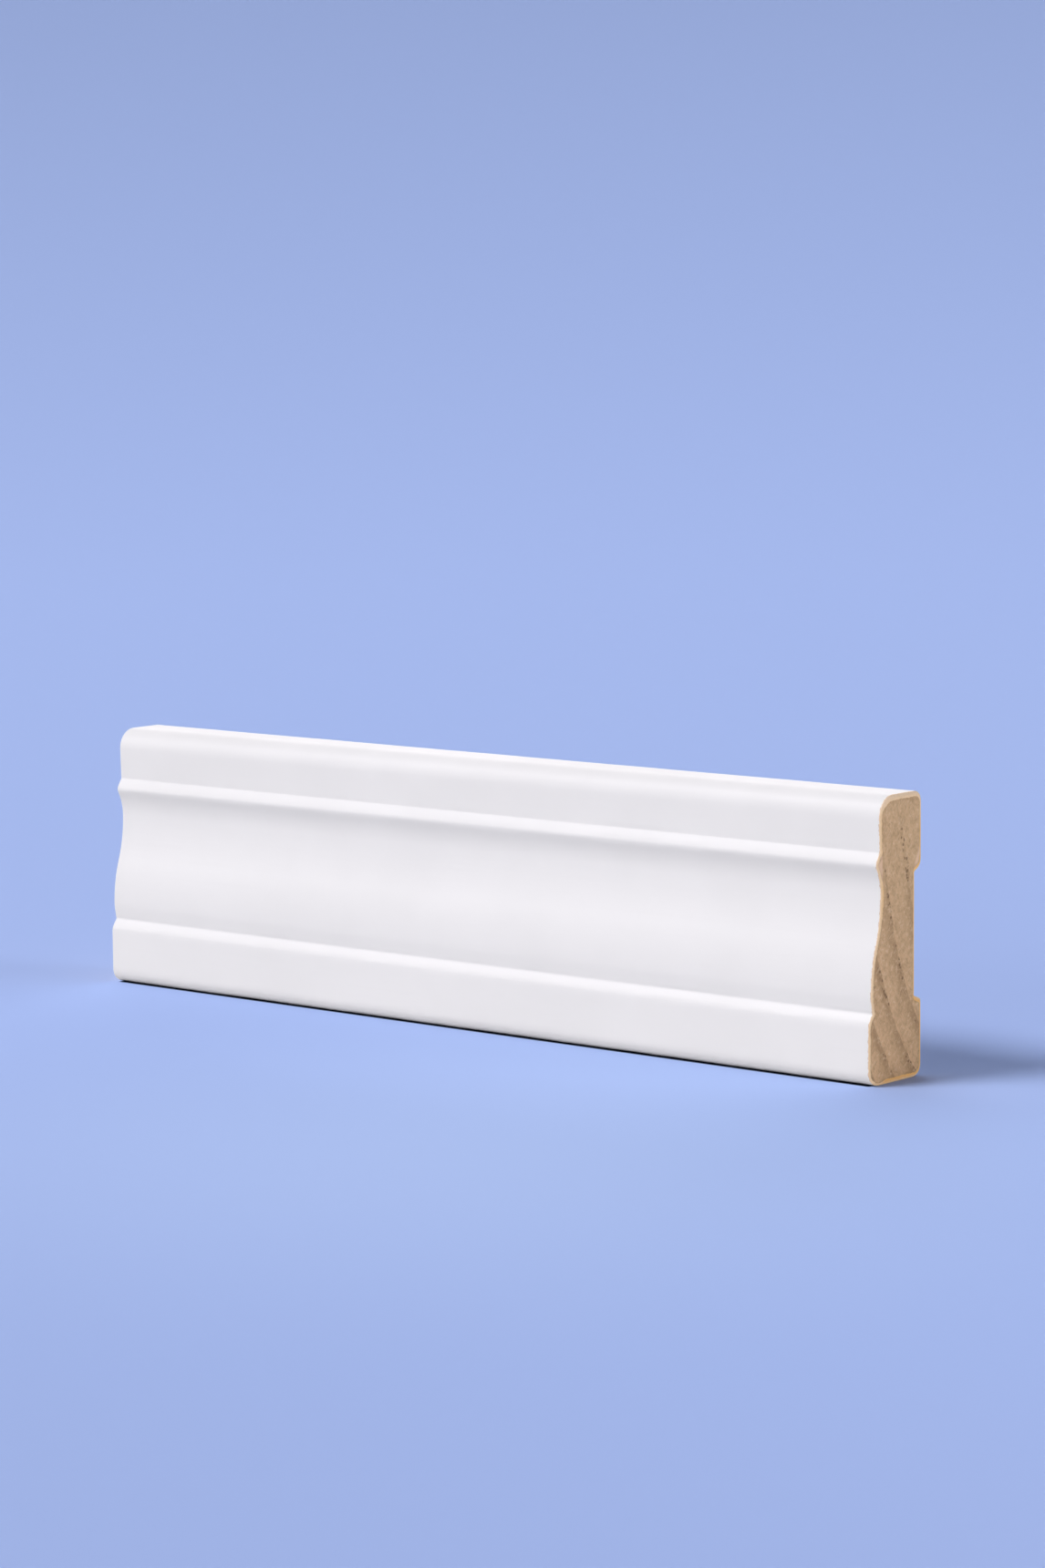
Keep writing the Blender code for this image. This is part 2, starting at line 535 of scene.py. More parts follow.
    def relief(self, height: object, depth: float, below: object = None) -> bpy.types.NodeSocket:
        """Raise a height of 0 to 1 by a real depth, over the relief below it."""
        inputs = {"Height": height, "Distance": depth}
        if below is not None:
            inputs["Normal"] = below
        return self.add("ShaderNodeBump", inputs).outputs[0]

    def attribute(self, name: str) -> bpy.types.NodeSocket:
        """Read a number that the mesh carries at its points."""
        return self.add("ShaderNodeAttribute", {}, attribute_name=name).outputs["Fac"]

    def axis(self, letter: str) -> bpy.types.NodeSocket:
        """Read one of the object coordinates."""
        return self.add("ShaderNodeSeparateXYZ", {0: self.place}).outputs[letter]


@dataclass(frozen=True)
class Marks:
    """One layer of small marks on the end grain, where noise passes between two levels.

    A layer with a lean is drawn out in slanting strokes.
    """

    size: float
    detail: float
    none: float
    full: float
    strength: float
    colour: Colour
    lean: float | None = None
    stretch: float = 0.30

    def lay(self, bench: Bench, wood: bpy.types.NodeSocket) -> bpy.types.NodeSocket:
        """Lay the marks over the wood.

        Args:
            bench: The material being built.
            wood: The colour so far.

        Returns:
            The colour with the marks on it.
        """
        place = None if self.lean is None else bench.tilted(self.lean, self.stretch)
        share = bench.rise(bench.noise(self.size, self.detail, place), self.none, self.full)
        return bench.laid(wood, self.colour, share, self.strength)


@dataclass(frozen=True)
class PineFinish:
    """Bare sawn end grain of plantation pine, with its growth rings and a paler rim."""

    pith_across: float = 0.074
    pith_height: float = 0.052
    first_ring: float = 0.0705
    ring_spacing: float = 0.0080
    ring_closing: float = 11.2
    whole_rings: float = 30.0
    wander_size: float = 0.006
    ring_wander: float = 0.0006
    bend_heights: Levels = (0.042, 0.060)
    upper_bend: float = 0.0034
    outer_wood: Levels = (0.066, 0.092)
    broad_heights: Levels = (0.044, 0.028)
    band_widths: Levels = (0.12, 0.42)
    band_line: float = 0.03
    band_solid: float = 0.40
    band_strengths: Levels = (0.36, 0.43)
    band_gaps: tuple[tuple[Patches, float], ...] = (
        ((0.0034, 0.38, 0.60), 0.45),
        ((0.0007, 0.36, 0.60), 0.60),
    )
    shade_fade: Levels = (0.85, 0.05)
    shade_strengths: Levels = (0.04, 0.24)
    early: Colour = (0.70, 0.485, 0.285)
    outer_early: Colour = (0.725, 0.49, 0.288)
    late: Colour = (0.34, 0.205, 0.105)
    pale: Colour = (0.90, 0.64, 0.45)
    rim: Colour = (0.96, 0.585, 0.215)
    # the rim's creamy colour: partly the wood's own, partly a painted highlight along the top and the face
    creamy_rim: Colour = (0.98, 0.74, 0.48)
    fresh: Colour = (1.0, 0.80, 0.60)
    canal: Colour = (0.17, 0.095, 0.045)
    fleck: Colour = (0.88, 0.68, 0.48)
    seam: Colour = (0.42, 0.25, 0.12)
    fuzz_size: float = 0.00085
    fuzz_depth: float = 0.000045
    tear_lean: float = math.radians(38.0)
    marks: tuple[Marks, ...] = (
        Marks(0.0030, 3.0, 0.38, 0.66, 0.17, late),
        Marks(fuzz_size, 3.0, 0.50, 0.36, 0.26, late),
        Marks(fuzz_size, 3.0, 0.56, 0.70, 0.38, fleck),
        Marks(0.0011, 2.0, 0.56, 0.68, 0.26, late, tear_lean),
        Marks(0.0013, 2.0, 0.56, 0.68, 0.29, fleck, -tear_lean),
    )
    canal_spacing: float = 0.00095
    canal_edge: Levels = (0.42, 0.26)
    row_start: Levels = (-0.01, 0.01)
    row_end: Levels = (0.17, 0.13)
    row_breaks: Patches = (0.006, 0.44, 0.50)
    strewn: Patches = (0.0023, 0.62, 0.70)
    strewn_strength: float = 0.45
    canal_strength: float = 0.70
    pale_strength: float = 0.80
    rim_reach: float = 0.00068
    rim_blur: float = 0.00009
    rim_top: Levels = (0.049, 0.055)
    rim_face: Levels = (-0.0030, -0.0055)
    top_rim_gain: float = 0.00007
    face_rim_loss: float = 0.00037
    ragged_size: float = 0.0009
    raggedness: float = 0.00016
    seam_reach: float = 1.9 * rim_reach
    seam_breaks: Patches = (0.0024, 0.46, 0.62)
    seam_strengths: Levels = (0.10, 0.50)
    fresh_depths: Levels = (0.8 * rim_reach, 0.2 * rim_reach)
    fresh_strength: float = 0.6
    worn: Marks = Marks(0.0005, 2.0, 0.55, 0.40, 0.15, outer_early)
    saw_pitch: float = 0.0011
    saw_lean: float = math.radians(62.0)
    saw_depth: float = 0.000010
    wobble_size: float = 0.004
    saw_wobble: float = 0.0005
    roughness: Levels = (0.62, 0.85)
    sheen: float = 0.3

    def from_pith(self, bench: Bench) -> bpy.types.NodeSocket:
        """Measure the distance from the pith, which runs along X behind the back.

        Args:
            bench: The material being built.

        Returns:
            The distance in metres, bent by noise and by the lean of the rings near the thin edge.
        """
        pith = (0.0, self.pith_across, self.pith_height)
        distance = bench.distance(bench.scaled((0.0, 1.0, 1.0)), pith)
        wander = bench.swing(self.wander_size, self.ring_wander, 3.0)
        bend = bench.times(bench.rise(bench.axis("Z"), *self.bend_heights), -self.upper_bend)
        return bench.plus(distance, wander, bend)

    def rings(self, bench: Bench, distance: bpy.types.NodeSocket) -> bpy.types.NodeSocket:
        """Count the rings out from the first one, and keep the part past the last line.

        The count is the distance past the first ring over the ring spacing, times 1 plus the closing
        rate times that distance, so the rings stand closer together outwards. A whole number of rings
        is added, which keeps the count above zero inside the first ring.

        Args:
            bench: The material being built.
            distance: The distance from the pith.

        Returns:
            The share of the way from one ring's line out to the next.
        """
        past = bench.maths("SUBTRACT", distance, self.first_ring)
        closing = bench.plus(bench.times(past, self.ring_closing), 1.0)
        counted = bench.times(bench.maths("DIVIDE", past, self.ring_spacing), closing)
        return bench.maths("FRACT", bench.plus(counted, self.whole_rings))

    def late_wood(self, bench: Bench, through: bpy.types.NodeSocket) -> bpy.types.NodeSocket:
        """Darken each ring beside its line: sharply at the line, and fading away from it.

        The band is broad near the thick edge and thin near the thin edge, and it is mottled.

        Args:
            bench: The material being built.
            through: The share of the way from one ring's line out to the next.

        Returns:
            The share of late wood.
        """
        broadness = bench.rise(bench.axis("Z"), *self.broad_heights)
        band = bench.spread(broadness, *self.band_widths)
        edge = bench.rise(through, 0.0, self.band_line)
        fade = bench.rise(through, band, bench.times(band, self.band_solid))
        mottling = [bench.spread(bench.patches(*gaps), least, 1.0) for gaps, least in self.band_gaps]
        dark = bench.times(edge, fade, *mottling, bench.spread(broadness, *self.band_strengths))
        shade_strength = bench.spread(broadness, *self.shade_strengths)
        shaded = bench.times(bench.rise(through, *self.shade_fade), shade_strength)
        return bench.plus(shaded, dark)

    def canals(self, bench: Bench, through: bpy.types.NodeSocket) -> bpy.types.NodeSocket:
        """Scatter small dark resin canals, in broken rows along the rings' lines.

        Args:
            bench: The material being built.
            through: The share of the way from one ring's line out to the next.

        Returns:
            1 in a canal and 0 outside.
        """
        inputs = {"Vector": bench.scaled((0.0, 1.0, 1.0)), "Scale": 1.0 / self.canal_spacing}
        cells = bench.add("ShaderNodeTexVoronoi", inputs)
        dot = bench.rise(cells.outputs["Distance"], *self.canal_edge)
        started = bench.rise(through, *self.row_start)
        unended = bench.rise(through, *self.row_end)
        row = bench.times(started, unended, bench.patches(*self.row_breaks))
        strewn = bench.times(bench.patches(*self.strewn), self.strewn_strength)
        return bench.times(dot, bench.maths("MAXIMUM", row, strewn))

    def pale_rim(self, bench: Bench, wood: bpy.types.NodeSocket) -> bpy.types.NodeSocket:
        """Lay the paler wood round the core: the bead, the foot's corner and the ragged rim.

        The rim is creamy along the thin edge and the face, and more orange along the back and the
        thick edge: partly the wood's own colour, and partly painted light, lighter on the sides that the
        lamps fall on and darker on those turned away. A broken darker seam parts it from the core.

        Args:
            bench: The material being built.
            wood: The core's colour.

        Returns:
            The colour with the paler wood over it.
        """
        wood = bench.laid(wood, self.pale, bench.attribute("pale_wood"), self.pale_strength)
        near_top = bench.rise(bench.axis("Z"), *self.rim_top)
        near_face = bench.rise(bench.axis("Y"), *self.rim_face)
        depth = bench.plus(
            bench.attribute("rim_depth"),
            bench.swing(self.ragged_size, self.raggedness),
            bench.times(near_top, -self.top_rim_gain),
            bench.times(near_face, self.face_rim_loss),
        )
        beside = bench.rise(depth, self.seam_reach, self.rim_reach)
        broken = bench.spread(bench.patches(*self.seam_breaks), *self.seam_strengths)
        wood = bench.blend(bench.times(beside, broken), wood, self.seam)
        # partly painted light: the rim is lighter and creamier along the top and the face, where the lamps
        # fall
        rim = bench.blend(bench.maths("MAXIMUM", near_top, near_face), self.rim, self.creamy_rim)
        rim = bench.laid(rim, self.fresh, bench.rise(depth, *self.fresh_depths), self.fresh_strength)
        rim = self.worn.lay(bench, rim)
        return bench.blend(bench.rise(depth, self.rim_reach + self.rim_blur, self.rim_reach), wood, rim)

    def saw_marks(self, bench: Bench) -> bpy.types.NodeSocket:
        """Draw the saw's fine parallel scores, as a wobbling sine across the end.

        Args:
            bench: The material being built.

        Returns:
            The scores' height, from 0 to 1.
        """
        up = bench.times(bench.axis("Z"), math.cos(self.saw_lean))
        across = bench.times(bench.axis("Y"), math.sin(self.saw_lean))
        run = bench.plus(up, across, bench.swing(self.wobble_size, self.saw_wobble))
        wave = bench.maths("SINE", bench.times(run, math.tau / self.saw_pitch))
        return bench.plus(bench.times(wave, 0.5), 0.5)

    def build(self) -> bpy.types.Material:
        """Build the material.

        Returns:
            The finished material.
        """
        bench = Bench("bare_pine_end")
        distance = self.from_pith(bench)
        through = self.rings(bench, distance)
        wood = bench.blend(bench.rise(distance, *self.outer_wood), self.early, self.outer_early)
        wood = bench.blend(self.late_wood(bench, through), wood, self.late)
        for marks in self.marks:
            wood = marks.lay(bench, wood)
        wood = bench.laid(wood, self.canal, self.canals(bench, through), self.canal_strength)
        bench.put(bench.shader.inputs["Base Color"], self.pale_rim(bench, wood))
        fuzz = bench.noise(self.fuzz_size, 3.0)
        bench.put(bench.shader.inputs["Roughness"], bench.spread(fuzz, *self.roughness))
        bench.shader.inputs["Specular IOR Level"].default_value = self.sheen
        scored = bench.relief(self.saw_marks(bench), self.saw_depth)
        bench.put(bench.shader.inputs["Normal"], bench.relief(fuzz, self.fuzz_depth, scored))
        return bench.material


@dataclass(frozen=True)
class PrimerFinish:
    """Satin white primer, rolled on thinly enough that the run of the grain just shows."""

    half_length: float
    coat: Colour = (0.84, 0.84, 0.845)
    shade: Colour = (0.82, 0.82, 0.825)
    thin: Colour = (0.78, 0.77, 0.75)
    grain: Colour = (0.72, 0.68, 0.61)
    wood: Colour = (0.62, 0.45, 0.30)
    cloud_size: float = 0.022
    cloudy: Levels = (0.35, 0.70)
    grain_size: float = 0.0011
    grain_stretch: float = 0.03
    grain_depth: float = 0.000010
    streaked: Levels = (0.55, 0.75)
    streak_strength: float = 0.35
    showing: Levels = (0.46, 0.72)
    thin_strength: float = 0.75
    peel_size: float = 0.0011
    peel_depth: float = 0.000006
    roughness: Levels = (0.43, 0.50)
    bare_edge: float = 0.00048
    bare_blur: float = 0.00006
    chip_size: float = 0.0007
    chip_reach: float = 0.0003

    def build(self) -> bpy.types.Material:
        """Build the material.

        The coat has chipped off the edge of the near cut, +X. On the back it is thin, and the grain
        shows through.

        Returns:
            The finished material.
        """
        bench = Bench("white_primer_satin")
        streaks = bench.noise(self.grain_size, 3.0, bench.scaled((self.grain_stretch, 1.0, 1.0)))
        clouds = bench.noise(self.cloud_size)
        peel = bench.noise(self.peel_size, 1.0)
        white = bench.blend(bench.rise(clouds, *self.cloudy), self.coat, self.shade)
        white = bench.laid(white, self.shade, bench.rise(streaks, *self.streaked), self.streak_strength)
        thin = bench.blend(bench.rise(streaks, *self.showing), self.thin, self.grain)
        white = bench.laid(white, thin, bench.attribute("thin_coat"), self.thin_strength)
        chipped = bench.plus(bench.axis("X"), bench.swing(self.chip_size, self.chip_reach))
        start = self.half_length - self.bare_edge
        bare = bench.rise(chipped, start, start + self.bare_blur)
        bench.put(bench.shader.inputs["Base Color"], bench.blend(bare, white, self.wood))
        bench.put(bench.shader.inputs["Roughness"], bench.spread(clouds, *self.roughness))
        raised = bench.relief(streaks, self.grain_depth)
        bench.put(bench.shader.inputs["Normal"], bench.relief(peel, self.peel_depth, raised))
        return bench.material


@dataclass
class CasingLength:
    """The whole length of casing as one closed surface."""

    length: float = 0.210
    tall_points: int = 120
    deep_points: int = 30
    stations: int = 272
    end_stations: tuple[float, ...] = (0.0, 0.00012, 0.00035)
    section: CasingSection = field(default_factory=CasingSection)
    edge: EasedEdge = field(default_factory=EasedEdge)
    film: PrimerFilm = field(default_factory=PrimerFilm)
    pale: PaleWood = field(default_factory=PaleWood)
    saw_ripple: float = 0.000012
    saw_ripple_pitch: float = 0.0024
    saw_ripple_lean: float = 0.5
    saw_ripple_start: float = 0.5
    back_starts: float = 0.5
    back_blend: float = 0.3

    def along(self) -> np.ndarray:
        """Space the stations evenly along X, with a few more close to each end."""
        half = self.length / 2.0 - self.edge.drop
        near = half - np.array(self.end_stations)
        middle = np.linspace(-near[-1], near[-1], self.stations)[1:-1]
        return np.concatenate([-near, middle, near[::-1]])

    def outline(self) -> np.ndarray:
        """Join the four sides into one closed outline without its repeated corner points."""
        sides = self.section.sides(self.tall_points, self.deep_points)
        return np.concatenate([side[:-1] for side in sides])

    @staticmethod
    def inwards(outline: np.ndarray) -> np.ndarray:
        """Find the inward normals of the outline.

        The tangent is the mean of the unit steps before and after a point. The outline runs down the
        face, so the wood lies a quarter turn clockwise from its run.

        Args:
            outline: Complex points, closed.

        Returns:
            A complex unit normal at each point.
        """
        step = np.roll(outline, -1) - outline
        step /= np.abs(step)
        run = step + np.roll(step, 1)
        return -1j * run / np.abs(run)

    @staticmethod
    def curvature(outline: np.ndarray) -> np.ndarray:
        """Find how sharply the outline turns at each point, in radians a metre."""
        step = np.roll(outline, -1) - outline
        turn = np.abs(np.angle(step * np.conj(np.roll(step, 1))))
        return 2.0 * turn / (np.abs(step) + np.abs(np.roll(step, 1)))

    @staticmethod
    def depth_inside(points: np.ndarray, outline: np.ndarray) -> np.ndarray:
        """Find each point's distance from the nearest side of the outline.

        The foot of the perpendicular on a side is at the dot product over the side's own square, held
        between 0 and 1, and the distance to it is the length of what is left.

        Args:
            points: Complex points of any shape.
            outline: Complex points, closed.

        Returns:
            The distances, in the shape of the points.
        """
        side = np.roll(outline, -1) - outline
        offset = points.ravel()[:, None] - outline
        share = np.clip((offset * np.conj(side)).real / np.abs(side) ** 2, 0.0, 1.0)
        return np.abs(offset - share * side).min(axis=1).reshape(points.shape)

    def four_sides(self, ring: np.ndarray) -> tuple[np.ndarray, np.ndarray, np.ndarray, np.ndarray]:
        """Part a ring into its four sides.

        Args:
            ring: One value for each point of the outline.

        Returns:
            The face and the back from the top down, the bottom and the top from the face to the back, in
            the order face, bottom, back, top.
        """
        closed = np.append(ring, ring[0])
        tall, deep = self.tall_points - 1, self.deep_points - 1
        face = closed[:tall + 1]
        bottom = closed[tall:tall + deep + 1]
        back = closed[tall + deep:2 * tall + deep + 1][::-1]
        top = closed[2 * tall + deep:][::-1]
        return face, bottom, back, top

    def patch(self, ring: np.ndarray) -> np.ndarray:
        """Fill a ring with a grid whose four sides are the ring's own.

        Each point is the blend of the two sides across, plus the blend of the two sides down, less the
        blend of the four corners.

        Args:
            ring: The innermost ring of the arris, complex.

        Returns:
            A grid of complex points, rows from the top down and columns from the face to the back.
        """
        face, bottom, back, top = self.four_sides(ring)
        down = np.linspace(0.0, 1.0, self.tall_points)[:, None]
        across = np.linspace(0.0, 1.0, self.deep_points)[None, :]
        sideways = (1.0 - across) * face[:, None] + across * back[:, None]
        upright = (1.0 - down) * top[None, :] + down * bottom[None, :]
        upper = (1.0 - across) * face[0] + across * back[0]
        lower = (1.0 - across) * face[-1] + across * back[-1]
        return sideways + upright - (1.0 - down) * upper - down * lower

    def placed(self, x: np.ndarray, flat: np.ndarray) -> np.ndarray:
        """Stand complex section points in the part's frame at given places along X."""
        across = self.section.thick_edge / 2.0 - flat.real
        return np.stack(np.broadcast_arrays(x, across, flat.imag), axis=-1)

    def long_faces(self, outline: np.ndarray) -> tuple[np.ndarray, np.ndarray]:
        """Carry the outline along X, with the primer's unevenness cut into it.

        Args:
            outline: The true section.

        Returns:
            The places along X, and complex points with a row for each of them.
        """
        along = self.along()
        steps = np.abs(np.roll(outline, -1) - outline)
        around = (np.cumsum(steps) - steps) / steps.sum()
        sunk = self.film.depth(along, around, self.curvature(outline))
        return along, outline + sunk * self.inwards(outline)

    def rim_depth(self, points: np.ndarray, rim: np.ndarray) -> np.ndarray:
        """Find how deep each point lies in the pale rim's own measure."""
        return self.depth_inside(self.pale.squeezed(points), self.pale.squeezed(rim))

    def cut_end(self, side: CutEnd, rim: np.ndarray) -> tuple[np.ndarray, np.ndarray, np.ndarray, np.ndarray]:
        """Shape one cut end: the rings of its eased arris, and the sawn face inside them.

        The rings are the outline set in by growing distances. Each point falls back from the end's plane
        as the ease says for its distance from the outline, and the sawn face also ripples as a sine
        across the saw's path.

        Args:
            side: Which end.
            rim: The long faces' last row of complex points at that end.

        Returns:
            Ring points and face points in the part's frame, then both as complex section points.
        """
        insets = self.edge.insets()[1:]
        rings = rim + insets[:, None] * self.inwards(rim)
        ring_depth = np.broadcast_to(insets[:, None], rings.shape)
        grid = self.patch(rings[-1])
        grid_depth = self.depth_inside(grid, rim)
        ripple = np.sin(math.tau * (self.saw_ripple_lean * grid.imag + grid.real) / self.saw_ripple_pitch)
        fade = np.clip(grid_depth / self.edge.reach - self.saw_ripple_start, 0.0, 1.0)
        fall = self.edge.fall(grid_depth) + self.saw_ripple * (0.5 + 0.5 * ripple) * fade
        half = self.length / 2.0
        ring_points = self.placed(side.value * (half - self.edge.fall(ring_depth)), rings)
        face_points = self.placed(side.value * (half - fall), grid)
        return ring_points, face_points, rings, grid

    @staticmethod
    def strips(rows: np.ndarray, outwards: int) -> np.ndarray:
        """Join rows of point numbers with quads, closed round the section.

        Args:
            rows: Point numbers, a row for each ring.
            outwards: 1 if the rows run towards +X, -1 if towards -X.

        Returns:
            Four point numbers for each quad.
        """
        here, there = rows[:-1], rows[1:]
        quads = np.stack([here, np.roll(here, -1, axis=1), np.roll(there, -1, axis=1), there], axis=-1)
        return quads.reshape(-1, 4)[:, ::outwards]

    @staticmethod
    def grid_quads(numbers: np.ndarray) -> np.ndarray:
        """Join a grid of point numbers with quads, each running down, across and up again."""
        corners = [numbers[:-1, :-1], numbers[1:, :-1], numbers[1:, 1:], numbers[:-1, 1:]]
        return np.stack(corners, axis=-1).reshape(-1, 4)

    def mesh(self, name: str) -> bpy.types.Mesh:
        """Put the long faces, the arris rings and the two cut ends into one closed mesh.

        Args:
            name: The mesh's name.

        Returns:
            The mesh, with its faces' coatings, its rim depths, its pale wood and its thin coat.
        """
        outline = self.outline()
        count = len(outline)
        along, rows = self.long_faces(outline)
        points = [self.placed(along[:, None], rows).reshape(-1, 3)]
        depths = [np.zeros(rows.size)]
        pale = [np.zeros(rows.size)]
        numbers = np.arange(rows.size).reshape(rows.shape)
        quads = [self.strips(numbers, 1)]
        coatings = [np.full(len(quads[0]), Coating.PRIMER.value)]
        used = rows.size
        for side in CutEnd:
            last = 0 if side is CutEnd.LEFT else -1
            ring_points, face_points, rings, grid = self.cut_end(side, rows[last])
            inner = np.s_[1:-1, 1:-1]
            ring_numbers = used + np.arange(rings.size).reshape(rings.shape)
            used += rings.size
            face_numbers = np.zeros(grid.shape, dtype=int)
            face_numbers[inner] = used + np.arange(grid[inner].size).reshape(grid[inner].shape)
            used += grid[inner].size
            sides = self.four_sides(ring_numbers[-1])
            face_numbers[:, 0], face_numbers[-1, :], face_numbers[:, -1], face_numbers[0, :] = sides
            points += [ring_points.reshape(-1, 3), face_points[inner].reshape(-1, 3)]
            flat = np.append(rings, grid[inner])
            depths += [self.rim_depth(flat, rows[last])]
            pale += [self.pale.beyond(flat, self.section)]
            arris = self.strips(np.vstack([numbers[last], ring_numbers]), side.value)
            sawn = self.grid_quads(face_numbers)[:, ::side.value]
            quads += [arris, sawn]
            wrapped = self.edge.primed_rings * count if side is CutEnd.LEFT else 0
            bare = len(arris) + len(sawn) - wrapped
            coatings += [np.full(wrapped, Coating.PRIMER.value), np.full(bare, Coating.BARE_PINE.value)]
        mesh = self.filled(name, np.concatenate(points), np.concatenate(quads))
        mesh.polygons.foreach_set("material_index", np.concatenate(coatings).astype(np.int32))
        self.carry(mesh, "rim_depth", np.concatenate(depths))
        self.carry(mesh, "pale_wood", np.concatenate(pale))
        facing_back = np.clip((self.inwards(outline).real - self.back_starts) / self.back_blend, 0.0, 1.0)
        thin = np.zeros(used)
        thin[:rows.size] = np.tile(facing_back, len(along))
        self.carry(mesh, "thin_coat", thin)
        LOG.info("section of %d points, %d stations, %d quads", count, len(along), len(mesh.polygons))
        return mesh

    @staticmethod
    def filled(name: str, points: np.ndarray, quads: np.ndarray) -> bpy.types.Mesh:
        """Fill a new mesh with points and quads, shaded smooth."""
        mesh = bpy.data.meshes.new(name)
        mesh.vertices.add(len(points))
        mesh.vertices.foreach_set("co", points.ravel())
        mesh.loops.add(quads.size)
        mesh.loops.foreach_set("vertex_index", quads.ravel().astype(np.int32))
        mesh.polygons.add(len(quads))
        mesh.polygons.foreach_set("loop_start", np.arange(0, quads.size, 4, dtype=np.int32))
        mesh.polygons.foreach_set("use_smooth", np.ones(len(quads), dtype=bool))
        mesh.update(calc_edges=True)
        mesh.validate()
        return mesh

    @staticmethod
    def carry(mesh: bpy.types.Mesh, name: str, values: np.ndarray) -> None:
        """Give the mesh one number at each point."""
        layer = mesh.attributes.new(name, "FLOAT", "POINT")
        layer.data.foreach_set("value", values.astype(np.float32))

    def build(self, name: str) -> bpy.types.Object:
        """Build the piece, dress it and hand it to the frame.

        Args:
            name: The piece's name.

        Returns:
            The finished object.
        """
        mesh = self.mesh(name)
        mesh.materials.append(PrimerFinish(self.length / 2.0).build())
        mesh.materials.append(PineFinish().build())
        piece = bpy.data.objects.new(name, mesh)
        bpy.context.scene.collection.objects.link(piece)
        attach(piece, "root")
        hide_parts("casing")
        return piece


@dataclass(frozen=True)
class Floor:
    """A plain pale floor whose far parts rise gently all round, so that no edge shows."""

    reach: float = 4.0
    flat_reach: float = 1.25
    bowl: float = 0.070
    lines: int = 161
    seen: Colour = (0.429, 0.564, 0.950)
    # painted light: the floor's colour inside the lighter patch painted in front of the piece
    painted_light_colour: Colour = (0.473, 0.618, 0.985)
    painted_light_patch: Place = (0.09, -0.10, 0.0)
    painted_light_reach: float = 0.17
    # painted shade: how far the floor is darkened the higher it rises far away
    far_painted_shade: float = 0.47
    far_power: float = 0.7
    # painted shade: how far the floor is darkened nearer to the camera, over the span of Y given next
    near_painted_shade: float = 0.07
    near: Levels = (-0.10, -0.34)
    bounced: Colour = (0.69, 0.70, 0.73)
    # painted contact shadow: the nearly black colour painted on the floor under the piece
    painted_contact_shade: Colour = (0.02, 0.025, 0.04)
    contact_shade_start: float = 0.0005
    contact_shade_full: float = 0.0015

    def build(self, name: str) -> bpy.types.Object:
        """Build the floor.

        Its height is nothing inside the flat reach, and past it the bowl times the square of the
        distance beyond, up to the reach.

        Args:
            name: The floor's name.

        Returns:
            The floor.
        """
        line = np.linspace(-self.reach, self.reach, self.lines)
        x, y = np.meshgrid(line, line, indexing="xy")
        beyond = np.clip(np.hypot(x, y), self.flat_reach, self.reach) - self.flat_reach
        points = np.stack([x, y, self.bowl * beyond ** 2], axis=-1).reshape(-1, 3)
        numbers = np.arange(x.size).reshape(x.shape)
        mesh = CasingLength.filled(name, points, CasingLength.grid_quads(numbers.T))
        mesh.materials.append(self.material())
        floor = bpy.data.objects.new(name, mesh)
        bpy.context.scene.collection.objects.link(floor)
        return floor

    def material(self) -> bpy.types.Material:
        """Paint the floor matt, with a painted contact shadow that makes it dark where the piece stands on
        it.

        It has a painted patch of light just in front of the piece, and painted shade that makes it dimmer
        nearer to the camera and dimmer the higher it rises far away. It throws back a greyer light than its
        own colour, so that the white primer stays white.

        Returns:
            The finished material.
        """
        bench = Bench("pale_floor")
        # painted light: a lighter patch painted on the floor just in front of the piece
        painted_light_patch = bench.rise(bench.distance(bench.place, self.painted_light_patch), self.painted_light_reach, 0.0)
        colour = bench.blend(painted_light_patch, self.seen, self.painted_light_colour)
        # painted shade: the floor is darkened the higher it rises far away
        painted_far_shade = bench.times(bench.maths("POWER", bench.axis("Z"), self.far_power), self.far_painted_shade)
        # painted shade: the floor is darkened nearer to the camera
        near = bench.times(bench.rise(bench.axis("Y"), *self.near), self.near_painted_shade)
        colour = bench.blend(bench.plus(painted_far_shade, near), colour, (0.0, 0.0, 0.0))
        straight = bench.add("ShaderNodeLightPath", {}).outputs["Is Camera Ray"]
        colour = bench.blend(straight, self.bounced, colour)
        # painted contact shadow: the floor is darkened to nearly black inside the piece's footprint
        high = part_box("casing")[1]
        under = []
        for letter, half in (("X", high.x), ("Y", high.y)):
            out = bench.maths("ABSOLUTE", bench.axis(letter))
            under.append(bench.rise(out, half - self.contact_shade_start, half - self.contact_shade_full))
        colour = bench.blend(bench.times(*under), colour, self.painted_contact_shade)
        bench.put(bench.shader.inputs["Base Color"], colour)
        bench.shader.inputs["Roughness"].default_value = 1.0
        bench.shader.inputs["Specular IOR Level"].default_value = 0.0
        return bench.material


@dataclass(frozen=True)
class Softbox:
    """A broad lamp so far away that its light is even, turned about the piece and raised.

    The turn is 0 in front of the moulded face and grows towards the cut end at +X.
    """

    name: str
    turn: float
    height: float
    glow: float
    spread: float

    def comes_from(self) -> Vector:
        """Give the direction that the light comes from."""
        turn, height = math.radians(self.turn), math.radians(self.height)
        level = math.cos(height)
        return Vector((math.sin(turn) * level, -math.cos(turn) * level, math.sin(height)))

    def build(self, colour: Colour) -> bpy.types.Object:
        """Hang the lamp.

        Its glow is how bright a white sheet is that faces it squarely, and the strength is that times
        pi.

        Args:
            colour: The light's colour.

        Returns:
            The lamp, turned so that it shines from its own direction.
        """
        light = bpy.data.lights.new(self.name, "SUN")
        light.energy = math.pi * self.glow
        light.angle = math.radians(self.spread)
        light.color = colour
        lamp = bpy.data.objects.new(self.name, light)
        lamp.rotation_euler = self.comes_from().to_track_quat("Z", "Y").to_euler()
        bpy.context.scene.collection.objects.link(lamp)
        return lamp


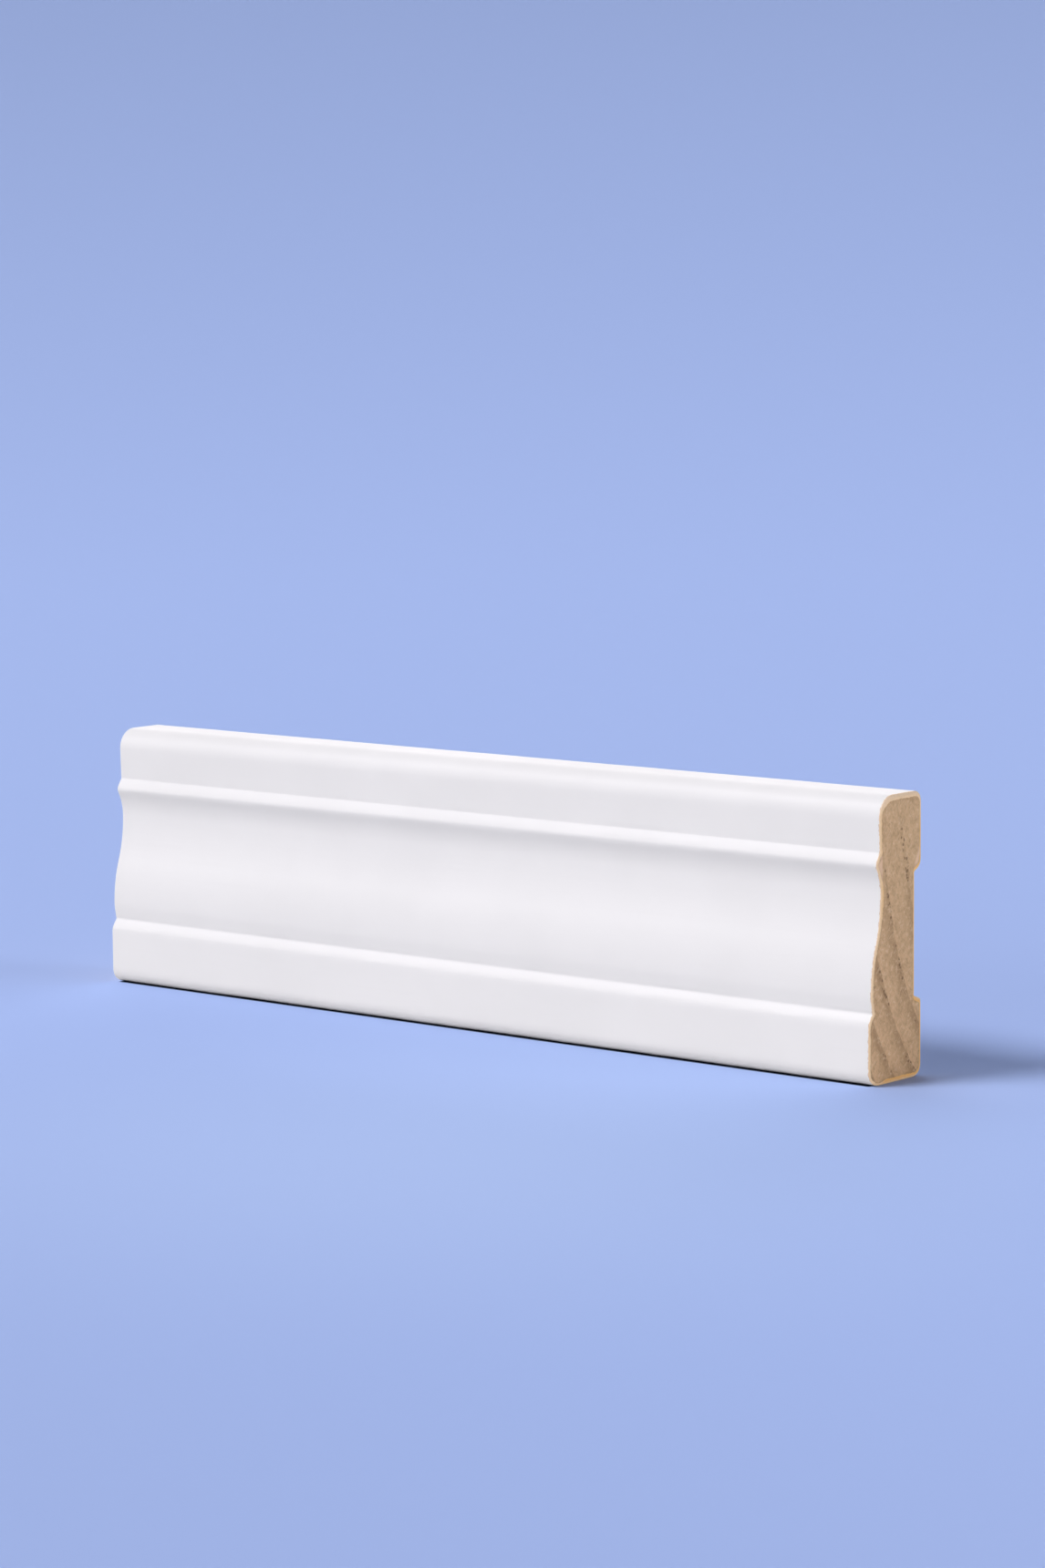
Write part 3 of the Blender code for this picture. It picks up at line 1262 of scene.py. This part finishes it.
@dataclass(frozen=True)
class Studio:
    """Soft studio light from six broad lamps, under a dim sky that looks like the floor."""

    white: Colour = (1.0, 0.972, 0.985)
    sky_glow: Colour = (0.032, 0.035, 0.055)
    sky_seen: Colour = (0.33, 0.43, 0.76)
    lamps: tuple[Softbox, ...] = (
        Softbox("key", -35.0, 51.0, 0.61, 24.0),
        Softbox("front", 0.0, 12.0, 0.30, 38.0),
        Softbox("left", -60.0, 15.0, 0.24, 38.0),
        Softbox("right", 105.0, 2.0, 1.13, 30.0),
        Softbox("rim", 217.0, 12.0, 0.30, 38.0),
        Softbox("top", 240.0, 46.0, 0.17, 38.0),
    )

    def sky(self) -> bpy.types.World:
        """Make a dim sky that the camera sees in the floor's own colour."""
        world = bpy.data.worlds.new("even_sky")
        world.use_nodes = True
        tree = world.node_tree
        background = tree.nodes["Background"]
        path = tree.nodes.new("ShaderNodeLightPath")
        mix = tree.nodes.new("ShaderNodeMix")
        mix.data_type = "RGBA"
        mix.inputs[6].default_value = (*self.sky_glow, 1.0)
        mix.inputs[7].default_value = (*self.sky_seen, 1.0)
        tree.links.new(path.outputs["Is Camera Ray"], mix.inputs[0])
        tree.links.new(mix.outputs[2], background.inputs["Color"])
        return world

    def build(self) -> None:
        """Light the scene and show it without a film curve."""
        scene = bpy.context.scene
        scene.view_settings.view_transform = "Standard"
        scene.world = self.sky()
        for lamp in self.lamps:
            lamp.build(self.white)


@dataclass(frozen=True)
class Viewpoint:
    """The camera, where the photograph was taken from."""

    place: Place = (0.603699, -0.704581, 0.163398)
    turned_left: float = math.radians(40.15)
    looking_down: float = math.radians(6.87)
    roll: float = math.radians(0.48)
    lens: float = 101.68
    film_height: float = 36.0

    def build(self) -> bpy.types.Object:
        """Set up the camera.

        It starts level and looking along +Y. It is rolled about its own line of sight, tipped down, and
        then turned about the upright.

        Returns:
            The scene's camera.
        """
        data = bpy.data.cameras.new("camera")
        data.lens = self.lens
        data.sensor_width = self.film_height
        data.sensor_fit = "AUTO"
        camera = bpy.data.objects.new("camera", data)
        turned = Matrix.Rotation(self.turned_left, 4, "Z")
        tipped = Matrix.Rotation(math.pi / 2.0 - self.looking_down, 4, "X")
        rolled = Matrix.Rotation(-self.roll, 4, "Z")
        camera.matrix_world = Matrix.Translation(self.place) @ turned @ tipped @ rolled
        bpy.context.scene.collection.objects.link(camera)
        bpy.context.scene.camera = camera
        return camera


def main() -> None:
    """Build the piece, the floor, the light and the camera."""
    logging.basicConfig(level=logging.INFO, format="%(name)s: %(message)s")
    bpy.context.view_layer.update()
    camera = Viewpoint().build()
    LOG.info("camera at %s", tuple(round(value, 3) for value in camera.location))
    casing = CasingLength().build("casing_length")
    LOG.info("%s has %d faces", casing.name, len(casing.data.polygons))
    floor = Floor().build("pale_floor")
    LOG.info("%s is stage", floor.name)
    Studio().build()


if __name__ == "__main__":
    main()
